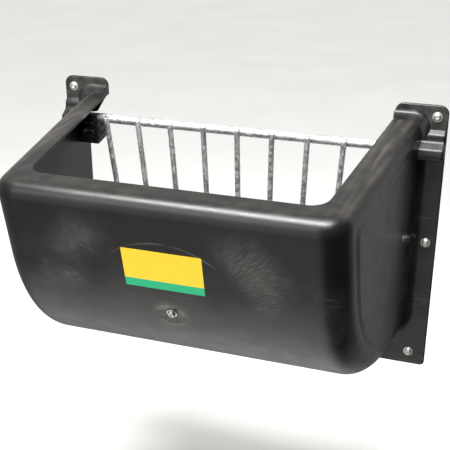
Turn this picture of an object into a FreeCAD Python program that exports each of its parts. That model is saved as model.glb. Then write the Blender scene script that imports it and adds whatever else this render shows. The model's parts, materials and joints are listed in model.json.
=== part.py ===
import FreeCAD, Part
import Sketcher
import math
import os

# Wall-mounted hay rack feeder for small livestock.
# A moulded polyethylene trough with side flanges is bolted to a wall or fence. It is open at the
# top and at the back. A galvanised bar grid hangs in the trough from a rail that lies in two
# ribbed brackets, and swings up for loading.
# Frame: millimetres, +X to the right, +Z up, the wall face is the plane Y = 0 and the trough
# stands out towards -Y. The origin is midway between the two top wall bolts, on the wall face.

Vector = FreeCAD.Vector
Matrix = FreeCAD.Matrix

SIZES = {
    # wall flange
    "flange_half_width": 350.0,
    "flange_drop": 469.0,
    "flange_thick": 5.0,
    "flange_corner": 8.0,
    "flange_edge_round": 2.2,
    "ear_rise": 19.0,
    "ear_inner_half": 263.0,
    "ear_corner": 15.0,
    "ear_inner_corner": 14.0,
    "gusset_reach": 288.0,
    "gusset_drop": 45.0,
    "gusset_foot_drop": 48.5,
    # trough body
    "wall_thick": 5.0,
    "body_half_width": 312.0,
    "side_taper": 0.1175,
    "rim_back_drop": 5.5,
    "rim_slope": 0.0972,
    "lip_reach": 409.0,
    "lip_drop": 45.0,
    "face_angle": 12.8,
    "bowl_depth": 407.0,
    "bowl_radius": 293.0,
    "corner_radius": 45.0,
    "rim_radius": 24.0,
    "root_fillet": 12.0,
    "back_panel_height": 88.0,
    # raised side cheeks
    "cheek_inset": 45.0,
    "cheek_drop": 27.0,
    "cheek_half_width": 311.5,
    "cheek_taper": 0.1095,
    "cheek_corner": 14.0,
    "cheek_ramp": 18.0,
    "cheek_sunk": 4.0,
    # top opening
    "opening_reach": 357.0,
    "opening_taper": 0.1036,
    "opening_corner": 28.0,
    # collar round the arm at each ear
    "collar_half_width": 322.0,
    "collar_rise": 9.0,
    "collar_drop": 42.0,
    "collar_thick": 14.0,
    "collar_corner": 30.0,
    "collar_edge": 8.0,
    # hanging channel below each ear
    "channel_start": 304.0,
    "channel_hollow_start": 318.0,
    "channel_top": 22.0,
    "shoulder_out": 13.0,
    "shoulder_height": 8.0,
    "shoulder_drop": 40.0,
    "nose_out": 32.0,
    "nose_slant": 3.0,
    "nose_top": 50.0,
    "nose_drop": 61.0,
    "channel_bottom": 71.0,
    "channel_skin": 4.0,
    "channel_round": 8.0,
    "channel_end_round": 5.0,
    # wall fixings
    "wall_bolt_half_pitch": 332.0,
    "low_bolt_half_pitch": 320.0,
    "middle_bolt_drop": 224.0,
    "low_bolt_drop": 443.0,
    "wall_bolt_radius": 4.0,
    "bolt_neck_radius": 4.3,
    "wall_bolt_stand": 40.0,
    "wall_hole_radius": 4.5,
    "washer_radius": 8.4,
    "washer_thick": 1.6,
    "head_radius": 6.2,
    "head_height": 3.8,
    "head_round": 2.6,
    "socket_radius": 2.6,
    "socket_depth": 2.2,
    # front closing bolt
    "front_bolt_drop": 243.0,
    "front_bolt_length": 20.0,
    "dish_radius": 80.0,
    "dish_depth": 4.0,
    "nut_radius": 7.5,
    "nut_height": 6.5,
    # side plugs
    "plug_depth_out": 86.0,
    "plug_drop": 187.0,
    "plug_radius": 6.0,
    "plug_cap": 2.8,
    "plug_round": 2.2,
    "plug_shank_radius": 4.0,
    "plug_shank": 9.0,
    # rail brackets
    "bracket_reach": 49.0,
    "bracket_front_half": 262.0,
    "bracket_back_half": 271.0,
    "bracket_base": 6.0,
    "fin_thick": 4.0,
    "fin_overhang": 3.0,
    "web_thick": 8.0,
    "upper_gap": 10.0,
    "lower_gap": 12.0,
    "bracket_foot": 10.0,
    "saddle_radius": 8.3,
    "saddle_end_half": 274.5,
    "screw_radius": 2.1,
    "screw_length": 10.0,
    "screw_head_radius": 4.4,
    "screw_head_height": 2.6,
    "screw_head_round": 1.4,
    "screw_access_radius": 4.8,
    "upper_screw_out": 14.0,
    "upper_screw_drop": 58.0,
    "lower_screw_out": 44.0,
    "lower_screw_drop": 73.0,
    # grid
    "rail_radius": 8.0,
    "rail_out": 31.0,
    "rail_drop": 49.0,
    "rail_half_length": 272.0,
    "rail_end_round": 1.5,
    "bar_radius": 5.0,
    "bar_pitch": 62.5,
    "bar_above": 7.0,
    "bar_below": 289.0,
    "bar_fan": 0.095,
    "bar_end_round": 3.5,
    "weld_depth": 0.8,
    "cross_radius": 6.0,
    "cross_below": 276.0,
    "cross_overhang": 5.0,
    "grid_lean": 3.4,
    # label
    "sticker_width": 124.0,
    "sticker_height": 68.0,
    "sticker_thick": 0.4,
    "sticker_drop": 159.0,
}

BAR_COUNT = 9
SIDES = (("left", -1), ("right", 1))
SKIN = 0.01


def make_sheet(doc):
    """Driving sizes as plain numbers, one alias each."""
    sheet = doc.addObject("Spreadsheet::Sheet", "Sizes")
    for row, (name, value) in enumerate(SIZES.items(), start=1):
        sheet.set(f"A{row}", name)
        sheet.set(f"B{row}", str(value))
        sheet.setAlias(f"B{row}", name)
    doc.recompute()
    return sheet


def bind(obj, links):
    """Tie properties of an object to cells of the sheet."""
    for prop, expression in links.items():
        obj.setExpression(prop, expression)
    return obj


class Feeder:
    """The document, its sheet and the list of finished sub-parts."""

    def __init__(self):
        self.doc = FreeCAD.newDocument("hay_rack_feeder")
        self.sheet = make_sheet(self.doc)
        self.subparts = []

    def size(self, name):
        return float(self.sheet.get(name))

    def add(self, kind, name, links=None):
        return bind(self.doc.addObject(kind, name), links or {})

    def keep(self, obj, label, placement=FreeCAD.Placement()):
        """Name a finished sub-part and put it in its place."""
        obj.Label = label
        obj.Placement = placement
        self.subparts.append(obj)
        return obj


# ---------------------------------------------------------------- trough shell

def face_direction(feeder):
    """Inward normal of the sloping front face, in the YZ plane."""
    angle = math.radians(feeder.size("face_angle"))
    return Vector(0, math.cos(angle), math.sin(angle))


def bowl_centre(feeder):
    """Axis of the rounded bottom: tangent to the floor and to the front face."""
    inward = face_direction(feeder)
    radius = feeder.size("bowl_radius")
    lip = Vector(0, -feeder.size("lip_reach"), -feeder.size("lip_drop"))
    z = radius - feeder.size("bowl_depth")
    y = lip.y + (radius - (z - lip.z) * inward.z) / inward.y
    return Vector(0, y, z)


def rim_height(feeder, y, inset=0.0):
    return feeder.size("rim_slope") * y - feeder.size("rim_back_drop") - inset


def half_width(feeder, y, inset=0.0):
    """Distance of a tapering side wall from the middle plane."""
    taper = feeder.size("side_taper")
    return feeder.size("body_half_width") + taper * y - inset * math.hypot(1, taper)


def side_outline(feeder, inset, top_inset, back):
    """Closed face in the plane X = 0: floor, rounded bottom, front face, rim and back."""
    inward = face_direction(feeder)
    centre = bowl_centre(feeder)
    radius = feeder.size("bowl_radius") - inset
    slope = feeder.size("rim_slope")
    floor = centre + Vector(0, 0, -radius)
    foot = centre - inward * radius
    rise = rim_height(feeder, foot.y, top_inset) - foot.z
    along = Vector(0, -inward.z, inward.y)
    lip = foot + along * (rise / (along.z - slope * along.y))
    middle = (floor - centre + foot - centre).normalize() * radius + centre
    back_top = Vector(0, back, rim_height(feeder, back, top_inset))
    back_floor = Vector(0, back, floor.z)
    edges = [
        Part.makeLine(back_floor, floor),
        Part.Arc(floor, middle, foot).toShape(),
        Part.makeLine(foot, lip),
        Part.makeLine(lip, back_top),
        Part.makeLine(back_top, back_floor),
    ]
    return Part.Face(Part.Wire(edges))


def tapered_solid(outline, half_at_wall, taper, back):
    """The outline drawn out sideways and trimmed by two side planes that close towards the front."""
    reach = 2 * half_at_wall
    slab = outline.extrude(Vector(2 * reach, 0, 0))
    slab.translate(Vector(-reach, 0, 0))
    front = -reach
    corners = [
        Vector(-half_at_wall - taper * back, back, -reach),
        Vector(half_at_wall + taper * back, back, -reach),
        Vector(half_at_wall + taper * front, front, -reach),
        Vector(-half_at_wall - taper * front, front, -reach),
    ]
    plan = Part.Face(Part.makePolygon(corners + corners[:1]))
    return slab.common(plan.extrude(Vector(0, 0, 2 * reach)))


def middle_of(edge):
    return edge.valueAt((edge.FirstParameter + edge.LastParameter) / 2)


def round_edges(solid, radius, wanted):
    """Fillet the edges whose middle point passes the test."""
    edges = [edge for edge in solid.Edges if wanted(middle_of(edge))]
    return solid.makeFillet(radius, edges)


def rounded_body(feeder, inset, back):
    """Trough form with rolled rim and rounded corners, solid."""
    outline = side_outline(feeder, inset, inset, back)
    half = half_width(feeder, 0, inset)
    body = tapered_solid(outline, half, feeder.size("side_taper"), back)

    def on_rim(point):
        return abs(point.z - rim_height(feeder, point.y, inset)) < SKIN

    def inside_back(point):
        return point.y < back - SKIN

    def on_side(point):
        return abs(abs(point.x) - half_width(feeder, point.y, inset)) < SKIN

    corner = feeder.size("corner_radius") - inset
    body = round_edges(body, corner, lambda p: on_side(p) and inside_back(p) and not on_rim(p))
    rim = feeder.size("rim_radius") - inset
    return round_edges(body, rim, lambda p: on_rim(p) and inside_back(p))


def cheek_outline(feeder, widening, sunk):
    """Outline of a raised cheek, on a tapering plane that lies a little below its face."""
    back = -feeder.size("flange_thick")
    inset = feeder.size("cheek_inset") - widening
    outline = side_outline(feeder, inset, feeder.size("cheek_drop") - widening, back)
    slab = outline.extrude(Vector(1, 0, 0))
    lip = min((v.Point for v in slab.Vertexes), key=lambda p: p.y)
    slab = round_edges(
        slab,
        feeder.size("cheek_corner"),
        lambda p: abs(p.y - lip.y) < SKIN and abs(p.z - lip.z) < SKIN,
    )
    flat = min(slab.Faces, key=lambda face: face.CenterOfMass.x)
    slant = Matrix()
    slant.A12 = feeder.size("cheek_taper")
    slant.A14 = feeder.size("cheek_half_width") - sunk
    return flat.OuterWire.transformGeometry(slant)


def cheeks(feeder):
    """Slightly raised panel with a ramped border on each side wall, fading out towards the flange."""
    ramp = feeder.size("cheek_ramp")
    foot = cheek_outline(feeder, ramp / 2, feeder.size("cheek_sunk"))
    face = cheek_outline(feeder, -ramp / 2, 0)
    right = Part.makeLoft([foot, face], True, True)
    return [right, right.mirror(Vector(), Vector(1, 0, 0))]


def flange_plate(feeder):
    """Back plate with rounded corners and a rounded front edge."""
    half = feeder.size("flange_half_width")
    thick = feeder.size("flange_thick")
    drop = feeder.size("flange_drop")
    rise = feeder.size("ear_rise")
    plate = Part.makeBox(2 * half, thick, drop + rise, Vector(-half, -thick, -drop))
    plate = round_edges(
        plate,
        feeder.size("flange_corner"),
        lambda p: abs(abs(p.x) - half) < SKIN and abs(p.z + drop) < SKIN,
    )
    plate = round_edges(
        plate,
        feeder.size("ear_corner"),
        lambda p: abs(abs(p.x) - half) < SKIN and abs(p.z - rise) < SKIN,
    )
    return round_edges(plate, feeder.size("flange_edge_round"), lambda p: abs(p.y + thick) < SKIN)


def with_root_fillet(feeder, solid):
    """Hollow fillet all round the foot of the body on the plate."""
    thick = feeder.size("flange_thick")
    reach = feeder.size("body_half_width")
    bottom = feeder.size("bowl_depth")
    return round_edges(
        solid,
        feeder.size("root_fillet"),
        lambda p: abs(p.y + thick) < SKIN and abs(p.x) < reach + 1 and p.z > -bottom - 1 and p.z < 0,
    )


def collar(feeder, side):
    """Raised step of the ear round the end of the arm."""
    inner = feeder.size("ear_inner_half") - feeder.size("collar_corner")
    outer = feeder.size("collar_half_width")
    thick = feeder.size("collar_thick")
    low = -feeder.size("collar_drop")
    high = feeder.size("collar_rise")
    step = Part.makeBox(outer - inner, thick, high - low, Vector(inner, -thick, low))
    step = round_edges(
        step,
        feeder.size("collar_corner"),
        lambda p: abs(p.x - outer) < SKIN and abs(p.z - high) < SKIN,
    )
    step = round_edges(
        step,
        feeder.size("collar_edge"),
        lambda p: abs(p.y + thick) < SKIN and p.z > low + SKIN and p.x > inner + SKIN,
    )
    return step if side > 0 else step.mirror(Vector(), Vector(1, 0, 0))


def channel(feeder, side, back, start, trim):
    """Solid form of the hanging channel: a shoulder above a rounded nose, drawn out sideways."""
    size = feeder.size
    thick = size("flange_thick")
    corners = [
        Vector(start, back, -size("channel_top")),
        Vector(start, -thick, -size("channel_top")),
        Vector(start, -size("shoulder_out"), -size("channel_top") - size("shoulder_height")),
        Vector(start, -size("shoulder_out"), -size("shoulder_drop")),
        Vector(start, size("nose_slant") - size("nose_out"), -size("nose_top")),
        Vector(start, -size("nose_out"), -size("nose_drop")),
        Vector(start, 2 * size("nose_slant") - size("nose_out"), -size("channel_bottom")),
        Vector(start, back, -size("channel_bottom")),
    ]
    outline = Part.Face(Part.makePolygon(corners + corners[:1]))
    if trim:
        outline = Part.Face(outline.makeOffset2D(-trim, join=2).Wires[0])
    length = size("flange_half_width") - trim - start
    solid = outline.extrude(Vector(length, 0, 0))
    middle = start + length / 2
    end = start + length

    def along_nose(point):
        return abs(point.x - middle) < SKIN and point.y < -thick - SKIN

    def round_end(point):
        return abs(point.x - end) < SKIN and point.y < -thick - SKIN

    solid = round_edges(solid, size("channel_round") - trim, along_nose)
    solid = round_edges(solid, size("channel_end_round") - trim, round_end)
    return solid if side > 0 else solid.mirror(Vector(), Vector(1, 0, 0))


def gusset(feeder, side):
    """Web in the plane of the plate, from the ear down to the side wall."""
    size = feeder.size
    thick = size("flange_thick")
    top = rim_height(feeder, 0)
    half = size("body_half_width")
    corners = [
        Vector(size("ear_inner_half"), -thick, top),
        Vector(half, -thick, top),
        Vector(half, -thick, -size("gusset_foot_drop")),
        Vector(size("gusset_reach"), -thick, -size("gusset_drop")),
    ]
    web = Part.Face(Part.makePolygon(corners + corners[:1])).extrude(Vector(0, thick, 0))
    return web if side > 0 else web.mirror(Vector(), Vector(1, 0, 0))


def opening_tool(feeder):
    """What the top opening takes out: tapered in plan, with rounded front corners."""
    reach = feeder.size("opening_reach")
    half = feeder.size("ear_inner_half")
    front = half - feeder.size("opening_taper") * reach
    back = half + feeder.size("opening_taper") * reach
    low = rim_height(feeder, -reach) - 2 * feeder.size("rim_radius")
    corners = [
        Vector(-back, reach, low),
        Vector(back, reach, low),
        Vector(front, -reach, low),
        Vector(-front, -reach, low),
    ]
    plan = Part.Face(Part.makePolygon(corners + corners[:1]))
    tool = plan.extrude(Vector(0, 0, 2 * feeder.size("opening_reach")))
    return round_edges(
        tool,
        feeder.size("opening_corner"),
        lambda p: abs(p.y + reach) < SKIN and abs(abs(p.x) - front) < SKIN,
    )


def front_bolt_axis(feeder):
    """Point of the front skin where the closing bolt passes, and the outward normal there."""
    centre = bowl_centre(feeder)
    radius = feeder.size("bowl_radius")
    sine = (centre.z + feeder.size("front_bolt_drop")) / radius
    outward = Vector(0, -math.sqrt(1 - sine**2), -sine)
    return centre + outward * radius, outward


def with_dish(feeder, shell):
    """Shallow round dish for the closing bolt, pressed in without thinning the skin."""
    point, outward = front_bolt_axis(feeder)
    radius = feeder.size("dish_radius")
    centre = point + outward * (radius - feeder.size("dish_depth"))
    wall = feeder.size("wall_thick")
    swell = Part.makeSphere(radius + wall, centre).common(rounded_body(feeder, wall / 2, 0))
    return shell.fuse(swell).cut(Part.makeSphere(radius, centre))


def wall_bolt_places(feeder):
    """Name, X and Z of each wall bolt."""
    high = feeder.size("wall_bolt_half_pitch")
    low = feeder.size("low_bolt_half_pitch")
    rows = (
        ("top", high, 0.0),
        ("middle", high, -feeder.size("middle_bolt_drop")),
        ("bottom", low, -feeder.size("low_bolt_drop")),
    )
    return [(f"{row}_{name}", side * x, z) for row, x, z in rows for name, side in SIDES]


def side_wall_point(feeder, side, out, drop):
    """Point on the inner face of a side wall, and the direction towards the inside."""
    taper = feeder.size("side_taper")
    x = side * half_width(feeder, -out, feeder.size("wall_thick"))
    inward = Vector(-side, taper, 0).normalize()
    return Vector(x, -out, -drop), inward


def bracket_screw_places(feeder):
    """Side name, seat on the side wall and inward direction of each bracket screw."""
    size = feeder.size
    places = []
    for name, side in SIDES:
        for row in ("upper", "lower"):
            out = size(f"{row}_screw_out")
            drop = size(f"{row}_screw_drop")
            places.append((f"{name}_{row}", *side_wall_point(feeder, side, out, drop)))
    return places


def plug_axis(feeder, side):
    """Point on the raised cheek where the side plug sits, and the outward normal."""
    out = feeder.size("plug_depth_out")
    taper = feeder.size("cheek_taper")
    x = feeder.size("cheek_half_width") - taper * out
    outward = Vector(side, -taper, 0).normalize()
    return Vector(side * x, -out, -feeder.size("plug_drop")), outward


def fixing_holes(feeder):
    """Round holes of the shell: wall bolts, closing bolt, bracket screws and side plugs."""
    size = feeder.size
    depth = 4 * size("wall_thick")
    holes = []
    for _, x, z in wall_bolt_places(feeder):
        start = Vector(x, -depth / 2, z)
        holes.append(Part.makeCylinder(size("wall_hole_radius"), depth, start, Vector(0, 1, 0)))
    point, outward = front_bolt_axis(feeder)
    start = point + outward * depth / 2
    holes.append(Part.makeCylinder(size("wall_hole_radius"), 2 * depth, start, -outward))
    for _, seat, inward in bracket_screw_places(feeder):
        length = size("screw_length") - size("bracket_base")
        start = seat - inward * length
        holes.append(Part.makeCylinder(size("screw_radius"), depth, start, inward))
    for _, side in SIDES:
        surface, outward = plug_axis(feeder, side)
        start = surface + outward * depth / 2
        holes.append(Part.makeCylinder(size("plug_shank_radius"), depth, start, -outward))
    return holes


def low_back_panel(feeder, cavity):
    """Closed lower part of the back, which keeps the hay fines in the trough."""
    half = feeder.size("body_half_width")
    thick = feeder.size("flange_thick")
    bottom = -feeder.size("bowl_depth")
    height = feeder.size("back_panel_height")
    panel = Part.makeBox(2 * half, thick, height, Vector(-half, -thick, bottom))
    return panel.common(cavity)


def ear_corner_tool(feeder, side):
    """What comes off the inner top corner of an ear to leave it round."""
    radius = feeder.size("ear_inner_corner")
    inner = feeder.size("ear_inner_half") - 1
    depth = 8 * feeder.size("flange_thick")
    low = feeder.size("ear_rise") - radius
    block = Part.makeBox(radius + 1, depth, radius + 1, Vector(inner, -depth / 2, low))
    axis = Vector(inner + 1 + radius, -depth / 2, low)
    tool = block.cut(Part.makeCylinder(radius, depth, axis, Vector(0, 1, 0)))
    return tool if side > 0 else tool.mirror(Vector(), Vector(1, 0, 0))


def trough_shell(feeder):
    """One moulded skin: body, cheeks, flange with ears, collars, hanging channels and holes."""
    wall = feeder.size("wall_thick")
    solid = rounded_body(feeder, 0, 0).fuse([*cheeks(feeder), flange_plate(feeder)])
    solid = with_root_fillet(feeder, solid.removeSplitter())
    half_plate = -feeder.size("flange_thick") / 2
    for _, side in SIDES:
        outer = channel(feeder, side, half_plate, feeder.size("channel_start"), 0)
        solid = solid.fuse(collar(feeder, side)).fuse(outer)
    cavity = rounded_body(feeder, wall, 2 * wall)
    shell = solid.cut(cavity).cut(opening_tool(feeder))
    shell = shell.fuse(low_back_panel(feeder, cavity))
    for _, side in SIDES:
        shell = shell.fuse(gusset(feeder, side))
        start = feeder.size("channel_hollow_start")
        skin = feeder.size("channel_skin")
        shell = shell.cut(channel(feeder, side, 2 * wall, start, skin))
        shell = shell.cut(ear_corner_tool(feeder, side))
    shell = with_dish(feeder, shell)
    for hole in fixing_holes(feeder):
        shell = shell.cut(hole)
    feature = feeder.add("Part::Feature", "Shell")
    feature.Shape = shell.removeSplitter()
    feeder.keep(feature, "trough_shell")


# ---------------------------------------------------------------- fixings

def upright_fillet(feeder, base, name, radius, height_level):
    """Round the circular edge of a turned piece at the given height along its axis."""
    feeder.doc.recompute()
    edges = [
        (number, radius, radius)
        for number, edge in enumerate(base.Shape.Edges, start=1)
        if edge.Closed and abs(middle_of(edge).z - height_level) < SKIN
    ]
    fillet = feeder.add("Part::Fillet", name)
    fillet.Base = base
    fillet.Edges = edges
    return fillet


def cylinder(feeder, name, radius, height, z=None):
    """Cylinder standing on its own axis, its sizes tied to the sheet."""
    obj = feeder.add("Part::Cylinder", name, {"Radius": radius, "Height": height})
    if z:
        obj.setExpression(".Placement.Base.z", z)
    return obj


def button_bolt(feeder, name, length):
    """Round-head bolt with a hexagon socket. The head stands on Z = 0 and the shank hangs below,
    its neck as long as the washer and the plastic that it passes through."""
    shank = cylinder(feeder, f"{name}_shank", "Sizes.wall_bolt_radius", length, f"-({length})")
    grip = "Sizes.flange_thick + Sizes.washer_thick"
    neck = cylinder(feeder, f"{name}_neck", "Sizes.bolt_neck_radius", grip, f"-({grip})")
    blank = cylinder(feeder, f"{name}_blank", "Sizes.head_radius", "Sizes.head_height")
    level = feeder.size("head_height")
    head = upright_fillet(feeder, blank, f"{name}_head", feeder.size("head_round"), level)
    links = {
        "Circumradius": "Sizes.socket_radius",
        "Height": "Sizes.socket_depth + 1",
        ".Placement.Base.z": "Sizes.head_height - Sizes.socket_depth",
    }
    socket = feeder.add("Part::Prism", f"{name}_socket", links)
    socket.Polygon = 6
    whole = feeder.add("Part::MultiFuse", f"{name}_whole")
    whole.Shapes = [head, neck, shank]
    bolt = feeder.add("Part::Cut", name)
    bolt.Base = whole
    bolt.Tool = socket
    return bolt


def washer(feeder, name):
    """Flat washer, a padded ring standing on Z = 0."""
    body = feeder.add("PartDesign::Body", name)
    sketch = body.newObject("Sketcher::SketchObject", f"{name}_ring")
    plane = next(f for f in body.Origin.OriginFeatures if f.Role == "XY_Plane")
    sketch.AttachmentSupport = [(plane, "")]
    sketch.MapMode = "FlatFace"
    for number, cell in enumerate(("washer_radius", "wall_hole_radius")):
        circle = Part.Circle(Vector(), Vector(0, 0, 1), feeder.size(cell))
        sketch.addGeometry(circle, False)
        sketch.addConstraint(Sketcher.Constraint("Coincident", number, 3, -1, 1))
        index = sketch.addConstraint(Sketcher.Constraint("Radius", number, feeder.size(cell)))
        sketch.setExpression(f"Constraints[{index}]", f"Sizes.{cell}")
    pad = body.newObject("PartDesign::Pad", f"{name}_pad")
    pad.Profile = sketch
    pad.setExpression("Length", "Sizes.washer_thick")
    body.Tip = pad
    return body


def facing(outward):
    """Rotation that turns +Z to the outward direction."""
    return FreeCAD.Rotation(Vector(0, 0, 1), outward)


def wall_fixings(feeder):
    """Six wall bolts with their washers. The threaded ends stand out behind the wall face."""
    outward = Vector(0, -1, 0)
    thick = feeder.size("flange_thick")
    length = "Sizes.wall_bolt_stand + Sizes.flange_thick + Sizes.washer_thick"
    for name, x, z in wall_bolt_places(feeder):
        seat = Vector(x, -thick, z)
        ring = washer(feeder, f"Washer_{name}")
        feeder.keep(ring, f"wall_washer_{name}", FreeCAD.Placement(seat, facing(outward)))
        top = seat + outward * feeder.size("washer_thick")
        bolt = button_bolt(feeder, f"Bolt_{name}", length)
        feeder.keep(bolt, f"wall_bolt_{name}", FreeCAD.Placement(top, facing(outward)))


def front_fixing(feeder):
    """Bolt, washer and nut that close the hole in the front dish."""
    point, outward = front_bolt_axis(feeder)
    dish = feeder.size("dish_radius")
    sag = dish - math.sqrt(dish**2 - feeder.size("washer_radius") ** 2)
    seat = point - outward * (feeder.size("dish_depth") - sag)
    top = seat + outward * feeder.size("washer_thick")
    inside = point - outward * (feeder.size("dish_depth") + feeder.size("wall_thick"))
    turn = facing(outward)
    feeder.keep(washer(feeder, "Front_washer"), "front_washer", FreeCAD.Placement(seat, turn))
    bolt = button_bolt(feeder, "Front_bolt", "Sizes.front_bolt_length")
    feeder.keep(bolt, "front_bolt", FreeCAD.Placement(top, turn))
    links = {"Circumradius": "Sizes.nut_radius", "Height": "Sizes.nut_height"}
    blank = feeder.add("Part::Prism", "Nut_blank", links)
    blank.Polygon = 6
    thread = cylinder(feeder, "Nut_thread", "Sizes.wall_bolt_radius", "Sizes.nut_height")
    nut = feeder.add("Part::Cut", "Nut")
    nut.Base = blank
    nut.Tool = thread
    feeder.keep(nut, "front_nut", FreeCAD.Placement(inside, facing(-outward)))


def side_plugs(feeder):
    """Push-in plastic plug in each side wall."""
    for name, side in SIDES:
        surface, outward = plug_axis(feeder, side)
        blank = cylinder(feeder, f"Plug_{name}_blank", "Sizes.plug_radius", "Sizes.plug_cap")
        level = feeder.size("plug_cap")
        cap = upright_fillet(feeder, blank, f"Plug_{name}_cap", feeder.size("plug_round"), level)
        depth = "-Sizes.plug_shank"
        shank = cylinder(
            feeder, f"Plug_{name}_shank", "Sizes.plug_shank_radius", "Sizes.plug_shank", depth
        )
        plug = feeder.add("Part::Fuse", f"Plug_{name}")
        plug.Base = cap
        plug.Tool = shank
        feeder.keep(plug, f"{name}_side_plug", FreeCAD.Placement(surface, facing(outward)))


# ---------------------------------------------------------------- rail brackets

WALL_ACROSS = "Sizes.wall_thick / cos(atan(Sizes.side_taper))"
INNER_BACK = f"-(Sizes.body_half_width - {WALL_ACROSS})"
INNER_FRONT = f"({INNER_BACK} + Sizes.side_taper * Sizes.bracket_reach)"
FREE_FRONT = "-Sizes.bracket_front_half"
FREE_BACK = "-Sizes.bracket_back_half"


def wedge(feeder, name, left, right, low, high):
    """Block of the left bracket: front and back X limits of each side, then its Z limits."""
    links = {
        "Ymin": "-Sizes.bracket_reach",
        "Ymax": "0",
        "Xmin": left[0],
        "X2min": left[1],
        "Xmax": right[0],
        "X2max": right[1],
        "Zmin": low,
        "Z2min": low,
        "Zmax": high,
        "Z2max": high,
    }
    return feeder.add("Part::Wedge", name, links)


def bracket_blocks(feeder):
    """Base plate, web, three fins and foot of the left bracket."""
    top = "-Sizes.rail_drop"
    second = f"{top} - Sizes.fin_thick - Sizes.upper_gap"
    third = f"{second} - Sizes.fin_thick - Sizes.lower_gap"
    foot_top = f"{third} - Sizes.fin_thick"
    bottom = f"{foot_top} - Sizes.bracket_foot"
    wall = (INNER_FRONT, INNER_BACK)
    base = (f"{INNER_FRONT} + Sizes.bracket_base", f"{INNER_BACK} + Sizes.bracket_base")
    free = (FREE_FRONT, FREE_BACK)
    web = (f"{FREE_FRONT} - Sizes.fin_overhang", f"{FREE_BACK} - Sizes.fin_overhang")
    web_back = (f"{web[0]} - Sizes.web_thick", f"{web[1]} - Sizes.web_thick")
    blocks = [
        wedge(feeder, "Bracket_base", wall, base, bottom, top),
        wedge(feeder, "Bracket_web", web_back, web, bottom, top),
        wedge(feeder, "Bracket_foot", wall, web, bottom, foot_top),
    ]
    for name, level in (("top", top), ("second", second), ("third", third)):
        low = f"{level} - Sizes.fin_thick"
        blocks.append(wedge(feeder, f"Bracket_fin_{name}", wall, free, low, level))
    return blocks


def bracket_cuts(feeder):
    """Saddle for the rail end, and the screw holes with their driver access."""
    turn = FreeCAD.Rotation(Vector(0, 1, 0), 90)
    reach = "Sizes.saddle_end_half"
    saddle = cylinder(feeder, "Saddle", "Sizes.saddle_radius", reach)
    start = -feeder.size("saddle_end_half")
    rail = Vector(start, -feeder.size("rail_out"), -feeder.size("rail_drop"))
    saddle.Placement = FreeCAD.Placement(rail, turn)
    cuts = [saddle]
    for name, seat, inward in bracket_screw_places(feeder):
        if name.startswith("left"):
            hole = cylinder(feeder, f"Hole_{name}", "Sizes.screw_radius", "Sizes.screw_length")
            hole.Placement = FreeCAD.Placement(seat, facing(inward))
            access = cylinder(
                feeder, f"Access_{name}", "Sizes.screw_access_radius", "Sizes.bracket_reach"
            )
            far = seat + inward * feeder.size("bracket_base")
            access.Placement = FreeCAD.Placement(far, facing(inward))
            cuts += [hole, access]
    return cuts


def rail_brackets(feeder):
    """Ribbed bracket inside each side wall at the back. The right one is the left one mirrored."""
    whole = feeder.add("Part::MultiFuse", "Bracket_whole")
    whole.Shapes = bracket_blocks(feeder)
    tools = feeder.add("Part::MultiFuse", "Bracket_tools")
    tools.Shapes = bracket_cuts(feeder)
    left = feeder.add("Part::Cut", "Bracket_left")
    left.Base = whole
    left.Tool = tools
    right = feeder.add("Part::Mirroring", "Bracket_right")
    right.Source = left
    right.Normal = Vector(1, 0, 0)
    feeder.keep(left, "left_rail_bracket")
    feeder.keep(right, "right_rail_bracket")


def bracket_screws(feeder):
    """Pan-head screws that hold each bracket to its side wall."""
    tail = "-(Sizes.screw_length - Sizes.screw_head_height / 2)"
    for name, seat, inward in bracket_screw_places(feeder):
        shank = cylinder(
            feeder, f"Screw_{name}_shank", "Sizes.screw_radius", "Sizes.screw_length", tail
        )
        blank = cylinder(
            feeder, f"Screw_{name}_blank", "Sizes.screw_head_radius", "Sizes.screw_head_height"
        )
        level = feeder.size("screw_head_height")
        round_size = feeder.size("screw_head_round")
        head = upright_fillet(feeder, blank, f"Screw_{name}_head", round_size, level)
        screw = feeder.add("Part::Fuse", f"Screw_{name}")
        screw.Base = head
        screw.Tool = shank
        top = seat + inward * feeder.size("bracket_base")
        feeder.keep(screw, f"bracket_screw_{name}", FreeCAD.Placement(top, facing(inward)))


# ---------------------------------------------------------------- hinged grid

def grid_frame(feeder):
    """Placement of the grid: on the rail axis, hanging with its lower end towards the wall."""
    axis = Vector(0, -feeder.size("rail_out"), -feeder.size("rail_drop"))
    return FreeCAD.Placement(axis, FreeCAD.Rotation(Vector(1, 0, 0), feeder.size("grid_lean")))


def round_bar(feeder, name, radius, length, end_round):
    """Straight bar on the Z axis with both ends rounded."""
    blank = cylinder(feeder, f"{name}_blank", radius, length)
    bottom = upright_fillet(feeder, blank, f"{name}_bottom", end_round, 0)
    level = float(blank.Height)
    return upright_fillet(feeder, bottom, name, end_round, level)


def lengthwise(x, y, z):
    """Placement of a bar that runs along +X from the given start."""
    return FreeCAD.Placement(Vector(x, y, z), FreeCAD.Rotation(Vector(0, 1, 0), 90))


def hinge_rail(feeder):
    """Top rail, which turns in the two bracket saddles."""
    length = "2 * Sizes.rail_half_length"
    rail = round_bar(feeder, "Rail", "Sizes.rail_radius", length, feeder.size("rail_end_round"))
    start = lengthwise(-feeder.size("rail_half_length"), 0, 0)
    feeder.keep(rail, "hinge_rail", grid_frame(feeder) * start)


def bar_spread(feeder, number, below):
    """X of a grid bar at a distance below the rail: the bars draw together towards the bottom."""
    at_rail = (number - (BAR_COUNT + 1) / 2) * feeder.size("bar_pitch")
    widest = (BAR_COUNT - 1) / 2 * feeder.size("bar_pitch")
    return at_rail * (1 - feeder.size("bar_fan") * below / widest)


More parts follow.
